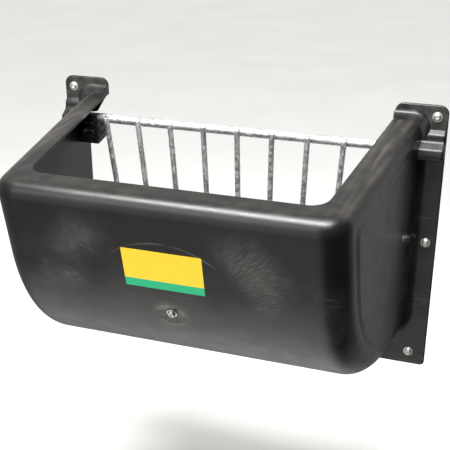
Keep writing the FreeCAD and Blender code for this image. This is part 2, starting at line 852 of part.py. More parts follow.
def grid_bars(feeder):
    """Nine bars welded on the front of the rail, counted from the left."""
    above = feeder.size("bar_above")
    below = feeder.size("bar_below")
    y = feeder.size("weld_depth") - feeder.size("rail_radius") - feeder.size("bar_radius")
    length = "Sizes.bar_above + Sizes.bar_below"
    end_round = feeder.size("bar_end_round")
    for number in range(1, BAR_COUNT + 1):
        top = Vector(bar_spread(feeder, number, -above), y, above)
        foot = Vector(bar_spread(feeder, number, below), y, -below)
        bar = round_bar(feeder, f"Bar_{number}", "Sizes.bar_radius", length, end_round)
        place = FreeCAD.Placement(foot, facing(top - foot))
        feeder.keep(bar, f"grid_bar_{number}", grid_frame(feeder) * place)


def lower_cross_bar(feeder):
    """Bar across the lower end of the grid, behind the other bars."""
    below = feeder.size("cross_below")
    half = bar_spread(feeder, BAR_COUNT, below) + feeder.size("cross_overhang")
    front = feeder.size("weld_depth") - feeder.size("rail_radius") - feeder.size("bar_radius")
    y = front + feeder.size("bar_radius") + feeder.size("cross_radius") - feeder.size("weld_depth")
    end_round = feeder.size("bar_end_round")
    bar = round_bar(feeder, "Cross", "Sizes.cross_radius", f"{2 * half}", end_round)
    feeder.keep(bar, "lower_cross_bar", grid_frame(feeder) * lengthwise(-half, y, -below))


# ---------------------------------------------------------------- label

def sticker(feeder):
    """Thin self-adhesive label on the front face."""
    inward = face_direction(feeder)
    foot = bowl_centre(feeder) - inward * feeder.size("bowl_radius")
    up = Vector(0, -inward.z, inward.y)
    middle = foot + up * ((-feeder.size("sticker_drop") - foot.z) / up.z)
    across = Vector(1, 0, 0)
    turn = FreeCAD.Rotation(across, up, -inward, "XYZ")
    half_width_across = feeder.size("sticker_width") / 2
    half_height = feeder.size("sticker_height") / 2
    corner = middle - across * half_width_across - up * half_height
    links = {
        "Length": "Sizes.sticker_width",
        "Width": "Sizes.sticker_height",
        "Height": "Sizes.sticker_thick",
    }
    label = feeder.add("Part::Box", "Sticker", links)
    feeder.keep(label, "sticker", FreeCAD.Placement(corner, turn))


# ---------------------------------------------------------------- document

def check(feeder):
    """Stop if any object failed, or if a finished sub-part is empty or broken."""
    for obj in feeder.doc.Objects:
        if "Invalid" in obj.State or "Error" in obj.State:
            raise RuntimeError(f"{obj.Name} failed: {obj.State}")
    for obj in feeder.subparts:
        if obj.Shape.isNull() or not obj.Shape.isValid() or not obj.Shape.Solids:
            raise RuntimeError(f"{obj.Label} has no valid solid")


def write(feeder):
    os.makedirs("parts", exist_ok=True)
    for obj in feeder.subparts:
        obj.Shape.exportStep(f"parts/{obj.Label}.step")
        print(obj.Label, round(obj.Shape.Volume), "mm3")


def build():
    feeder = Feeder()
    trough_shell(feeder)
    wall_fixings(feeder)
    front_fixing(feeder)
    side_plugs(feeder)
    rail_brackets(feeder)
    bracket_screws(feeder)
    hinge_rail(feeder)
    grid_bars(feeder)
    lower_cross_bar(feeder)
    sticker(feeder)
    feeder.doc.recompute()
    check(feeder)
    return feeder


if __name__ == "__main__":
    write(build())
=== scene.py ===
import json
import math

import bpy
from mathutils import Matrix, Vector

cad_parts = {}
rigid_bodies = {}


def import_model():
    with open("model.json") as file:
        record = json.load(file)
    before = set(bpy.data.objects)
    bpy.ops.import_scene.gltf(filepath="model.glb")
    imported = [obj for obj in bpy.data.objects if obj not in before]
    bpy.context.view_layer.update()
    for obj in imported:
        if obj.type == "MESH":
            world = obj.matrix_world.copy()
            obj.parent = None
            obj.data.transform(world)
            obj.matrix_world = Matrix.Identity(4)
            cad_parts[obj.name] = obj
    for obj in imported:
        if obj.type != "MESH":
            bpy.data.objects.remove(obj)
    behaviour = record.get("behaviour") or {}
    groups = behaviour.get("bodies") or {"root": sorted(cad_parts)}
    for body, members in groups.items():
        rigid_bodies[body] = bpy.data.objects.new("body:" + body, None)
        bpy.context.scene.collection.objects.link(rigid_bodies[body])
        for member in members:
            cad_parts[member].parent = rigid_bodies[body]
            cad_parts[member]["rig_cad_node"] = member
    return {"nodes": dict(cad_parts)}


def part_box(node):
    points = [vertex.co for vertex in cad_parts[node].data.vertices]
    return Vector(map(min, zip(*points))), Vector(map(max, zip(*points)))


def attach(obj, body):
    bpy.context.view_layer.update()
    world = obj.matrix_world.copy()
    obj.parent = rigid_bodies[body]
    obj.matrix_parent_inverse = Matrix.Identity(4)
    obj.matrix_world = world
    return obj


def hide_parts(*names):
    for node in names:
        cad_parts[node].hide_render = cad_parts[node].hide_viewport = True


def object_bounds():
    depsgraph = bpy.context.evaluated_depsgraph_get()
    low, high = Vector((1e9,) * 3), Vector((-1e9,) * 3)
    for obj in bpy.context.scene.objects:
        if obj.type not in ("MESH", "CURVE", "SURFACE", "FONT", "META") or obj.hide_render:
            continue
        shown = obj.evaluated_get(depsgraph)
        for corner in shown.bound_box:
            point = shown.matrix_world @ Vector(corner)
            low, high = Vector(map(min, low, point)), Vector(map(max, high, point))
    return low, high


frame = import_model()
CAD_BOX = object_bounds()

# A wall-mounted hay rack feeder: a black moulded trough with a galvanised bar grid that swings in it.
# Metres, +X to the right, +Z up, the wall face at Y = 0, the trough towards -Y.

MM = 0.001
NODES = frame["nodes"]


# ---------------------------------------------------------------- places read from the frame

def middle_of(node):
    low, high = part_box(node)
    return (low + high) / 2


def size_of(node):
    low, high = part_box(node)
    return high - low


def object_middle():
    return (CAD_BOX[0] + CAD_BOX[1]) / 2


BAR_RADIUS = size_of("grid_bar_5").x / 2
BAR_COUNT = sum(name.startswith("grid_bar_") for name in NODES)
RAIL_RADIUS = size_of("hinge_rail").z / 2
CROSS_RADIUS = size_of("lower_cross_bar").z / 2
WASHER_RADIUS = size_of("wall_washer_top_left").x / 2
WASHER_THICK = size_of("wall_washer_top_left").y
HEAD_RADIUS = size_of("wall_bolt_top_left").x / 2
HEAD_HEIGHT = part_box("wall_washer_top_left")[0].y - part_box("wall_bolt_top_left")[0].y
TO_ROOM = Vector((0, -1, 0))


def bar_ends(number):
    """Upper and lower end of a grid bar's axis. The bars fan in and lean to the wall downwards."""
    low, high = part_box(f"grid_bar_{number}")
    side = (low.x + high.x) / 2
    outer, inner = (low.x + BAR_RADIUS, high.x - BAR_RADIUS)
    if side > 0:
        outer, inner = inner, outer
    top = Vector((outer, low.y + BAR_RADIUS, high.z))
    foot = Vector((inner, high.y - BAR_RADIUS, low.z))
    return top, foot


# ---------------------------------------------------------------- hand tools

def alone(piece):
    """Only this piece selected, and active."""
    bpy.ops.object.select_all(action="DESELECT")
    piece.select_set(True)
    bpy.context.view_layer.objects.active = piece


def open_edit(piece, kind="FACE", wanted=None):
    """Edit mode with the wanted corners, edges or faces selected: all of them if none are asked for.
    A corner is tested by its place, an edge by its two ends and a face by its middle and normal."""
    alone(piece)
    mesh = piece.data
    bpy.ops.object.mode_set(mode="EDIT")
    bpy.ops.mesh.select_mode(type=kind)
    bpy.ops.mesh.select_all(action="SELECT" if wanted is None else "DESELECT")
    if wanted is None:
        return
    bpy.ops.object.mode_set(mode="OBJECT")
    if kind == "VERT":
        for corner in mesh.vertices:
            corner.select = wanted(corner.co)
    if kind == "EDGE":
        for edge in mesh.edges:
            ends = [mesh.vertices[index].co for index in edge.vertices]
            edge.select = wanted(*ends)
    if kind == "FACE":
        for face in mesh.polygons:
            face.select = wanted(face.center, face.normal)
    bpy.ops.object.mode_set(mode="EDIT")


def close_edit():
    bpy.ops.object.mode_set(mode="OBJECT")


def apply_modifier(piece, kind, **settings):
    alone(piece)
    modifier = piece.modifiers.new(kind.lower(), kind)
    for name, value in settings.items():
        setattr(modifier, name, value)
    bpy.ops.object.modifier_apply(modifier=modifier.name)


def face_outwards(piece):
    open_edit(piece)
    bpy.ops.mesh.normals_make_consistent(inside=False)
    close_edit()


def settle(piece, matrix):
    """Move a piece to its place, and leave the place in its mesh."""
    alone(piece)
    piece.matrix_world = matrix
    bpy.ops.object.transform_apply(location=True, rotation=True, scale=True)


def twin(piece):
    """A copy with a mesh of its own."""
    alone(piece)
    bpy.ops.object.duplicate()
    return bpy.context.object


def pointing(place, direction):
    """Matrix that stands a piece modelled along +Z at a place, with its +Z in that direction."""
    return Matrix.Translation(place) @ direction.to_track_quat("Z", "Y").to_matrix().to_4x4()


def finish_piece(piece, name, body, material, slot, *nodes):
    """Name, finish and body of a piece, and the CAD nodes that it stands for."""
    crease = math.radians(35)
    piece.name = name
    piece.data.name = name
    piece.data.materials.clear()
    piece.data.materials.append(material)
    alone(piece)
    bpy.ops.object.shade_smooth_by_angle(angle=crease)
    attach(piece, body)
    if nodes:
        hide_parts(*nodes)


def turned(points, sides):
    """A turned solid: a disc drawn out along Z through (radius, height) pairs in metres."""
    radius, height = points[0]
    bpy.ops.mesh.primitive_circle_add(
        vertices=sides, radius=radius, fill_type="NGON", location=(0, 0, height)
    )
    piece = bpy.context.object
    bpy.ops.object.transform_apply(location=True)
    open_edit(piece)
    for wider, higher in points[1:]:
        rise = {"value": (0, 0, higher - height)}
        bpy.ops.mesh.extrude_region_move(TRANSFORM_OT_translate=rise)
        grow = wider / radius
        bpy.ops.transform.resize(value=(grow, grow, 1), center_override=(0, 0, 0))
        radius, height = wider, higher
    close_edit()
    face_outwards(piece)
    return piece


def zinc_skin(piece, depth):
    """Uneven skin that hot zinc leaves on steel, lumps of about 6 mm."""
    lumps = bpy.data.textures.new("zinc_lumps", "CLOUDS")
    lumps.noise_scale = 6 * MM
    lumps.noise_depth = 2
    apply_modifier(piece, "DISPLACE", texture=lumps, texture_coords="LOCAL", strength=depth)


# ---------------------------------------------------------------- materials

EASED = {"interpolation_type": "SMOOTHSTEP"}
TIMES = {"operation": "MULTIPLY"}
TIMES_PLUS = {"operation": "MULTIPLY_ADD"}


def linear(code):
    """Linear colour of an sRGB hex value."""
    parts = [int(code[i : i + 2], 16) / 255 for i in (1, 3, 5)]
    return tuple([c / 12.92 if c <= 0.04045 else ((c + 0.055) / 1.055) ** 2.4 for c in parts] + [1.0])


def node(tree, kind, inputs=None, **settings):
    """Add a node. An input given as a node or a socket is linked, any other value is set."""
    made = tree.nodes.new("ShaderNode" + kind)
    for name, value in settings.items():
        setattr(made, name, value)
    for name, value in (inputs or {}).items():
        if isinstance(value, bpy.types.Node):
            value = next(output for output in value.outputs if output.enabled)
        if isinstance(value, bpy.types.NodeSocket):
            tree.links.new(value, made.inputs[name])
        else:
            made.inputs[name].default_value = value
    return made


def new_material(name):
    """A material with an empty tree, and the place on the piece to lay its patterns by."""
    material = bpy.data.materials.new(name)
    material.use_nodes = True
    tree = material.node_tree
    tree.nodes.clear()
    return material, tree, node(tree, "TexCoord").outputs["Object"]


def with_surface(material, inputs):
    """The material with its surface shader: constants on its own sockets, patterns linked."""
    shader = node(material.node_tree, "BsdfPrincipled", inputs)
    node(material.node_tree, "OutputMaterial", {"Surface": shader})
    return material


def patches(tree, place, size, low, high, detail=3.0):
    """Soft patches of about that size, 0 below the low level of the noise and 1 above the high one."""
    noise = node(tree, "TexNoise", {"Vector": place, "Scale": 1 / size, "Detail": detail})
    return node(tree, "MapRange", {"Value": noise, "From Min": low, "From Max": high})


def strokes(tree, place, turn, size, low, high):
    """Fine strokes of that length, width and depth, turned as given."""
    laid = {"Vector": place, "Rotation": turn, "Scale": size}
    frame_of_strokes = node(tree, "Mapping", laid, vector_type="TEXTURE")
    return patches(tree, frame_of_strokes, 1.0, low, high, 1.0)


def coats(tree, ground, *layers):
    """Colours laid over a ground. Each layer is a strength, a colour and the masks it keeps to."""
    for amount, code, *masks in layers:
        for mask in masks:
            amount = node(tree, "Math", {0: mask, 1: amount}, **TIMES)
        laid = {"Factor": amount, "A": ground, "B": linear(code)}
        ground = node(tree, "Mix", laid, data_type="RGBA")
    return ground


def reach_and_turn(tree, place):
    """Distance from the closing bolt across the front, and the turn away from straight up."""
    bolt = middle_of("front_washer")
    moved = {"Vector": place, "Location": (bolt.x, 0, bolt.z)}
    around = node(tree, "SeparateXYZ", {0: node(tree, "Mapping", moved, vector_type="TEXTURE")})
    across, up = around.outputs["X"], around.outputs["Z"]
    turn = node(tree, "Math", {0: across, 1: up}, operation="ARCTAN2")
    flat = node(tree, "CombineXYZ", {"X": across, "Z": up})
    reach = node(tree, "VectorMath", {0: flat}, operation="LENGTH").outputs["Value"]
    return reach, turn


def marks_and_highlight_round_the_bolt(tree, place):
    """Wiping strokes that point at the closing bolt, kept to an arc on each side of the label where a
    painted highlight falls on them, a painted sheen over that arc, and the wear in the dish with a
    faint ring line above the label."""
    reach, turn = reach_and_turn(tree, place)
    arc_radius = 168 * MM
    stroke_width = 1.2 * MM
    stroke_length = 20 * MM
    fan = node(tree, "Math", {0: turn, 1: arc_radius / stroke_width}, **TIMES)
    out = node(tree, "Math", {0: reach, 1: 1 / stroke_length}, **TIMES)
    polar = node(tree, "CombineXYZ", {"X": fan, "Y": out})
    hairs = patches(tree, polar, 1.0, 0.42, 0.68, 2.0)
    # The arc band built below is a painted highlight: the place where the wiping strokes catch the
    # light.
    start = {"Value": reach, "From Min": arc_radius - 46 * MM, "From Max": arc_radius - 8 * MM}
    end = {"Value": reach, "From Min": arc_radius + 62 * MM, "From Max": arc_radius + 8 * MM}
    bend = node(tree, "Math", {0: turn}, operation="ABSOLUTE")
    off_label = node(tree, "MapRange", {"Value": bend, "From Min": 0.40, "From Max": 0.80}, **EASED)
    off_foot = node(tree, "MapRange", {"Value": bend, "From Min": 1.60, "From Max": 1.25}, **EASED)
    painted_sheen = node(tree, "Math", {0: off_label, 1: off_foot}, **TIMES)
    for limit in (start, end):
        painted_sheen = node(tree, "Math", {0: painted_sheen, 1: node(tree, "MapRange", limit, **EASED)}, **TIMES)
    painted_sheen = node(tree, "Math", {0: painted_sheen, 1: patches(tree, place, 60 * MM, 0.36, 0.62)}, **TIMES)
    # Wiping strokes kept to the painted highlight band.
    strokes_in_highlight = node(tree, "Math", {0: painted_sheen, 1: hairs}, **TIMES)

    ring_radius = 130 * MM
    line = 0.8 * MM
    inner = {"Value": reach, "From Min": ring_radius - 2 * line, "From Max": ring_radius - line}
    outer = {"Value": reach, "From Min": ring_radius + 2 * line, "From Max": ring_radius + line}
    above = {"Value": bend, "From Min": 0.75, "From Max": 0.55}
    ring = patches(tree, place, 25 * MM, 0.35, 0.65)
    for limit in (inner, outer, above):
        ring = node(tree, "Math", {0: ring, 1: node(tree, "MapRange", limit, **EASED)}, **TIMES)
    in_dish = {"Value": reach, "From Min": 34 * MM, "From Max": 18 * MM}
    dish = patches(tree, place, 7 * MM, 0.25, 0.6, 4.0)
    dish = node(tree, "Math", {0: dish, 1: node(tree, "MapRange", in_dish, **EASED)}, **TIMES)
    worn = node(tree, "Math", {0: ring, 1: dish}, operation="MAXIMUM")
    return strokes_in_highlight, painted_sheen, worn


def sides_of_the_moulding(tree, place):
    """Masks of faces turned up, to the sides and to the room, and of the lower part, the arms and
    the ears. The upright mask is a stricter one of faces turned to the room."""
    facing = node(tree, "SeparateXYZ", {0: node(tree, "TexCoord").outputs["Normal"]})
    parts = node(tree, "SeparateXYZ", {0: place})
    to_side = node(tree, "Math", {0: facing.outputs["X"]}, operation="ABSOLUTE")
    to_room = node(tree, "Math", {0: facing.outputs["Y"], 1: -1.0}, **TIMES)
    off_middle = node(tree, "Math", {0: parts.outputs["X"]}, operation="ABSOLUTE")
    limits = {
        "top": (facing.outputs["Z"], 0.55, 0.95),
        "side": (to_side, 0.93, 0.985),
        "front": (to_room, 0.25, 0.6),
        "lower": (parts.outputs["Z"], -120 * MM, -190 * MM),
        "arm": (off_middle, 235 * MM, 265 * MM),
        "ear": (parts.outputs["Z"], -34 * MM, -8 * MM),
        "upright": (to_room, 0.3, 0.7),
    }
    masks = {}
    for name, (value, low, high) in limits.items():
        ramp = {"Value": value, "From Min": low, "From Max": high}
        masks[name] = node(tree, "MapRange", ramp, **EASED)
    return masks


def moulded_polyethylene():
    """Black polyethylene out of a mould. It looks satin and nearly black, with a fine skin grain and
    slow waves. Use has left wiping strokes on the front, streaks along the arms, scratches on the
    sides and dust on top. The strokes are painted pale only in an arc beside the label, where a
    painted highlight falls on them, and a painted sheen lies over that arc. Paler patches on the lower
    front and on the ears are dust with painted light."""
    material, tree, place = new_material("moulded_black_polyethylene")
    on = sides_of_the_moulding(tree, place)
    strokes_in_highlight_arc, painted_sheen, rubbed = marks_and_highlight_round_the_bolt(tree, place)
    strokes_in_highlight = node(tree, "Math", {0: strokes_in_highlight_arc, 1: on["front"]}, **TIMES)
    cloud = patches(tree, place, 140 * MM, 0.42, 0.62, 4.0)
    level = strokes(tree, place, (0, 0.06, 0), (34 * MM, 20 * MM, 1.4 * MM), 0.60, 0.72)
    level_patch = patches(tree, place, 60 * MM, 0.50, 0.66)
    slanting = strokes(tree, place, (0.95, 0, 0), (30 * MM, 46 * MM, 1.6 * MM), 0.55, 0.74)
    slant_patch = patches(tree, place, 90 * MM, 0.44, 0.64, 4.0)
    rubs = node(tree, "Math", {0: slanting, 1: slant_patch}, **TIMES)
    rubs = node(tree, "Math", {0: rubs, 1: on["side"]}, **TIMES)
    streak = strokes(tree, place, (0, 0, -0.1), (11 * MM, 150 * MM, 40 * MM), 0.44, 0.68)
    streaks = node(tree, "Math", {0: streak, 1: on["top"]}, **TIMES)
    streaks = node(tree, "Math", {0: streaks, 1: on["arm"]}, **TIMES)
    haze_and_painted_light = patches(tree, place, 16 * MM, 0.3, 0.7, 5.0)
    dust = patches(tree, place, 22 * MM, 0.35, 0.75, 6.0)
    bloom = patches(tree, place, 110 * MM, 0.35, 0.70)
    skin = coats(
        tree,
        linear("#100F0F"),
        (1.0, "#171615", bloom),
        # Paler cloud on the lower front: dust, with a painted sheen of the lit floor below.
        (0.45, "#3D3C3A", cloud, on["front"], on["lower"]),
        # Painted sheen over the arc where the wiping strokes catch the light.
        (0.34, "#474543", painted_sheen, on["front"]),
        # Wiping strokes painted pale, as the highlight they catch in that arc.
        (0.46, "#6C6A67", strokes_in_highlight),
        (0.45, "#6A6762", rubbed, on["front"]),
        (0.45, "#6A6660", level, level_patch, on["front"], on["lower"]),
        (0.50, "#74716C", rubs),
        (0.22, "#686562", streaks),
        # Paler haze on the ears' upright faces: dust, with painted light from above.
        (0.30, "#686562", haze_and_painted_light, on["ear"], on["upright"]),
        (0.08, "#7A756D", dust, on["top"]),
    )

    marks = node(tree, "Math", {0: strokes_in_highlight, 1: rubs}, operation="MAXIMUM")
    marks = node(tree, "Math", {0: marks, 1: streaks}, operation="MAXIMUM")
    patchy = patches(tree, place, 26 * MM, 0.30, 0.70, 5.0)
    clean = node(tree, "Math", {0: patchy, 1: 0.08, 2: 0.29}, **TIMES_PLUS)
    rough = node(tree, "Math", {0: marks, 1: 0.16, 2: clean}, **TIMES_PLUS)

    waves = patches(tree, place, 75 * MM, 0.2, 0.8, 1.0)
    slow = node(tree, "Bump", {"Height": waves, "Strength": 0.35, "Distance": 1.5 * MM})
    # The grain of the mould, taken as 0.2 mm, is too fine to show. It is drawn at 1.3 mm.
    grain = patches(tree, place, 1.3 * MM, 0.30, 0.70, 2.0)
    skin_grain = {"Height": grain, "Strength": 0.25, "Distance": 0.12 * MM, "Normal": slow}
    fine = node(tree, "Bump", skin_grain)
    scored = {"Height": marks, "Strength": 0.2, "Distance": 0.1 * MM, "Normal": fine}
    cut = node(tree, "Bump", scored, invert=True)
    skin_inputs = {"IOR": 1.51, "Base Color": skin, "Roughness": rough, "Normal": cut}
    return with_surface(material, skin_inputs)


def black_polyamide():
    """Glass-filled polyamide, injection moulded in a spark-eroded mould. It looks matt and black, with
    an even grain that catches a little light on its edges."""
    material, tree, place = new_material("moulded_black_polyamide")
    bloom = patches(tree, place, 14 * MM, 0.35, 0.70)
    skin = coats(tree, linear("#161616"), (1.0, "#242423", bloom))
    # The spark-eroded grain, taken as 0.1 mm, is too fine to show. It is drawn at 0.9 mm.
    grain = patches(tree, place, 0.9 * MM, 0.30, 0.70, 2.0)
    rough = node(tree, "Math", {0: grain, 1: 0.15, 2: 0.42}, **TIMES_PLUS)
    bump = node(tree, "Bump", {"Height": grain, "Strength": 0.4, "Distance": 0.1 * MM})
    skin_inputs = {"IOR": 1.53, "Base Color": skin, "Roughness": rough, "Normal": bump}
    return with_surface(material, skin_inputs)


def plug_polyethylene():
    """Soft polyethylene, moulded smooth. It looks grey-black, a little glossier than the trough, with
    dust on it."""
    material, tree, place = new_material("moulded_grey_polyethylene")
    dust = patches(tree, place, 3 * MM, 0.35, 0.70)
    skin = coats(tree, linear("#3A3836"), (1.0, "#66625C", dust))
    rough = node(tree, "Math", {0: dust, 1: 0.15, 2: 0.28}, **TIMES_PLUS)
    return with_surface(material, {"IOR": 1.51, "Base Color": skin, "Roughness": rough})


def galvanised_steel():
    """Steel dipped in molten zinc. It shows flakes of a few millimetres, each with its own tone and
    gloss, dull patches where the zinc has weathered to a mineral skin, and bright ones between."""
    material, tree, place = new_material("hot_dip_galvanised_steel")
    ragged = node(tree, "TexNoise", {"Vector": place, "Scale": 1 / (3 * MM), "Detail": 2.0})
    bent = {"Factor": 0.003, "A": place, "B": ragged.outputs["Color"]}
    shifted = node(tree, "Mix", bent, data_type="VECTOR")
    flakes = node(tree, "TexVoronoi", {"Vector": shifted, "Scale": 1 / (4.5 * MM)})
    tone = node(tree, "SeparateColor", {0: flakes.outputs["Color"]})
    dull = patches(tree, place, 9 * MM, 0.50, 0.62, 4.0)
    bright = patches(tree, shifted, 5 * MM, 0.58, 0.68, 3.0)
    skin = coats(
        tree,
        linear("#BEC1C2"),
        (1.0, "#ECEEEE", tone),
        (0.7, "#A2A5A6", dull),
        (0.8, "#F2F3F3", bright),
    )
    bare = node(tree, "Math", {0: dull, 1: -0.45, 2: 0.85}, **TIMES_PLUS)
    flake_gloss = node(tree, "Math", {0: tone, 1: 0.18, 2: 0.34}, **TIMES_PLUS)
    rough = node(tree, "Math", {0: dull, 1: 0.15, 2: flake_gloss}, **TIMES_PLUS)
    lumps = patches(tree, place, 2.5 * MM, 0.25, 0.75, 3.0)
    bump = node(tree, "Bump", {"Height": lumps, "Strength": 0.5, "Distance": 0.25 * MM})
    skin_inputs = {"Metallic": bare, "Base Color": skin, "Roughness": rough, "Normal": bump}
    return with_surface(material, skin_inputs)


def zinc_plated_steel():
    """Zinc laid on by electroplating. It looks bright and silvery, with a faint blue and straw bloom
    and dull specks."""
    material, tree, place = new_material("bright_zinc_plate")
    bloom = patches(tree, place, 5 * MM, 0.40, 0.60)
    stain = patches(tree, place, 2.2 * MM, 0.56, 0.72, 4.0)
    skin = coats(tree, linear("#E2E6EA"), (1.0, "#EDEADF", bloom), (0.5, "#9A9A98", stain))
    rough = node(tree, "Math", {0: bloom, 1: 0.12, 2: 0.30}, **TIMES_PLUS)
    # The pits of the plating, taken as 0.05 mm, are too fine to show. They are drawn at 0.5 mm.
    pits = patches(tree, place, 0.5 * MM, 0.35, 0.65, 1.0)
    bump = node(tree, "Bump", {"Height": pits, "Strength": 0.2, "Distance": 0.03 * MM})
    skin_inputs = {"Metallic": 1.0, "Base Color": skin, "Roughness": rough, "Normal": bump}
    return with_surface(material, skin_inputs)


def printed_vinyl():
    """Self-adhesive vinyl film, screen printed. It shows a flat yellow field over a green band, a
    little grime, and the slow ripple of film pressed on by hand."""
    material, tree, place = new_material("printed_vinyl_film")
    low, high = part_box("sticker")
    parts = node(tree, "SeparateXYZ", {0: place})
    band_share = 0.215
    band_top = low.z + (high.z - low.z) * band_share
    edge = 0.15 * MM
    across = {"Value": parts.outputs["Z"], "From Min": band_top + edge, "From Max": band_top - edge}
    band = node(tree, "MapRange", across, **EASED)
    tint = patches(tree, place, 18 * MM, 0.30, 0.70)
    grime = patches(tree, place, 6 * MM, 0.58, 0.75, 5.0)
    skin = coats(
        tree,
        linear("#EDC713"),
        (1.0, "#F0CD1D", tint),
        (1.0, "#04B07A", band),
        (0.12, "#5F5A48", grime),
    )
    rough = node(tree, "Math", {0: grime, 1: 0.2, 2: 0.38}, **TIMES_PLUS)
    ripple = patches(tree, place, 12 * MM, 0.2, 0.8, 1.0)
    bump = node(tree, "Bump", {"Height": ripple, "Strength": 0.2, "Distance": 0.2 * MM})
    skin_inputs = {"IOR": 1.46, "Base Color": skin, "Roughness": rough, "Normal": bump}
    return with_surface(material, skin_inputs)


def rolled_paint():
    """Matt floor paint, laid on with a roller. It looks pale and even, with a very faint cloudiness."""
    material, tree, place = new_material("rolled_matt_paint")
    cloud = patches(tree, place, 500 * MM, 0.3, 0.7)
    skin = coats(tree, linear("#EFEFED"), (1.0, "#F4F4F2", cloud))
    skin_inputs = {"Base Color": skin, "Roughness": 0.9, "Specular IOR Level": 0.2}
    return with_surface(material, skin_inputs)


# ---------------------------------------------------------------- fixings

# Radius of the washer's bore, radius of the thread's crest, and thickness of the flange.
WASHER_BORE = 4.5 * MM
BOLT_CREST = 4.0 * MM
FLANGE_THICK = 5 * MM


def quarter_round(inner, outer, base, rise, steps):
    """(radius, height) pairs along a quarter turn, from the outer radius at the base to the inner."""
    points = []
    for part in range(1, steps + 1):
        turn = part / steps * math.pi / 2
        points.append((inner + (outer - inner) * math.cos(turn), base + rise * math.sin(turn)))
    return points


def flat_washer():
    """Washer lying on Z = 0: both faces of a disc inset, bridged into the bore, and the rims eased."""
    bpy.ops.mesh.primitive_cylinder_add(
        vertices=48, radius=WASHER_RADIUS, depth=WASHER_THICK, location=(0, 0, WASHER_THICK / 2)
    )
    ring = bpy.context.object
    bpy.ops.object.transform_apply(location=True)
    nearly_level = 0.9
    open_edit(ring, "FACE", lambda middle, normal: abs(normal.z) > nearly_level)
    bpy.ops.mesh.inset(thickness=WASHER_RADIUS - WASHER_BORE)
    bpy.ops.mesh.bridge_edge_loops()
    close_edit()
    near_rim = 0.98 * WASHER_RADIUS
    ease = 0.3 * MM
    open_edit(
        ring,
        "EDGE",
        lambda a, b: min(a.xy.length, b.xy.length) > near_rim and abs(a.z - b.z) < WASHER_THICK / 2,
    )
    bpy.ops.mesh.bevel(offset=ease, segments=3)
    close_edit()
    face_outwards(ring)
    return ring


def bolt_profile(length):
    """(radius, height) pairs of a bolt whose head stands on Z = 0: tip, thread, neck, domed head."""
    root, neck = 3.4 * MM, 4.2 * MM
    pitch = 1.25 * MM
    crest_start, crest_end = 0.45 * pitch, 0.55 * pitch
    tip_ease, rim_ease = 0.5 * MM, 0.3 * MM
    grip = WASHER_THICK + FLANGE_THICK
    height = -length + tip_ease
    points = [(root - tip_ease, -length), (root, height)]
    while height < -grip - pitch:
        points.append((BOLT_CREST, height + crest_start))
        points.append((BOLT_CREST, height + crest_end))
        points.append((root, height + pitch))
        height += pitch
    crown_radius = 0.55 * HEAD_RADIUS
    side_height = 0.30 * HEAD_HEIGHT
    points += [(neck, -grip), (neck, 0)]
    points += [(HEAD_RADIUS - rim_ease, 0), (HEAD_RADIUS, rim_ease), (HEAD_RADIUS, side_height)]
    return points + quarter_round(
        crown_radius, HEAD_RADIUS, side_height, HEAD_HEIGHT - side_height, 6
    )


def domed_bolt(length):
    """Button-head bolt with a rolled thread and a hexagon socket."""
    bolt = turned(bolt_profile(length), 40)
    socket_radius, socket_depth = 2.7 * MM, 2.2 * MM
    bpy.ops.mesh.primitive_cylinder_add(
        vertices=6, radius=socket_radius, depth=2 * socket_depth, location=(0, 0, HEAD_HEIGHT)
    )
    key = bpy.context.object
    apply_modifier(bolt, "BOOLEAN", operation="DIFFERENCE", object=key, solver="EXACT")
    bpy.data.objects.remove(key)
    return bolt


def wall_fixings(plate):
    """Six bolts with their washers round the flange."""
    bolt = domed_bolt(size_of("wall_bolt_top_left").y - HEAD_HEIGHT)
    ring = flat_washer()
    for row in ("top", "middle", "bottom"):
        for side in ("left", "right"):
            place = f"{row}_{side}"
            washer_node = f"wall_washer_{place}"
            seat = middle_of(washer_node) - TO_ROOM * WASHER_THICK / 2
            disc = twin(ring)
            settle(disc, pointing(seat, TO_ROOM))
            finish_piece(disc, f"washer_{place}", "trough", plate, "zinc_plated_steel", washer_node)
            stud = twin(bolt)
            settle(stud, pointing(seat + TO_ROOM * WASHER_THICK, TO_ROOM))
            finish_piece(
                stud, f"bolt_{place}", "trough", plate, "zinc_plated_steel", f"wall_bolt_{place}"
            )
    bpy.data.objects.remove(bolt)
    bpy.data.objects.remove(ring)


def hexagon_nut(radius, height, bore):
    """Hexagon nut standing on Z = 0, its corners turned off at both ends and its bore countersunk."""
    bpy.ops.mesh.primitive_cylinder_add(
        vertices=6, radius=radius, depth=height, location=(0, 0, height / 2)
    )
    nut = bpy.context.object
    ease = 0.12 * radius
    face, corner = radius - 2 * ease, 1.02 * radius
    slope = 1.2 * ease
    barrel = turned([(face, 0), (corner, slope), (corner, height - slope), (face, height)], 48)
    apply_modifier(nut, "BOOLEAN", operation="INTERSECT", object=barrel, solver="EXACT")
    bpy.data.objects.remove(barrel)
    wide, deep = bore + 0.7 * MM, 0.8 * MM
    over = 0.1 * MM
    drill = turned([(wide, -over), (bore, deep), (bore, height - deep), (wide, height + over)], 32)
    apply_modifier(nut, "BOOLEAN", operation="DIFFERENCE", object=drill, solver="EXACT")
    bpy.data.objects.remove(drill)
    return nut


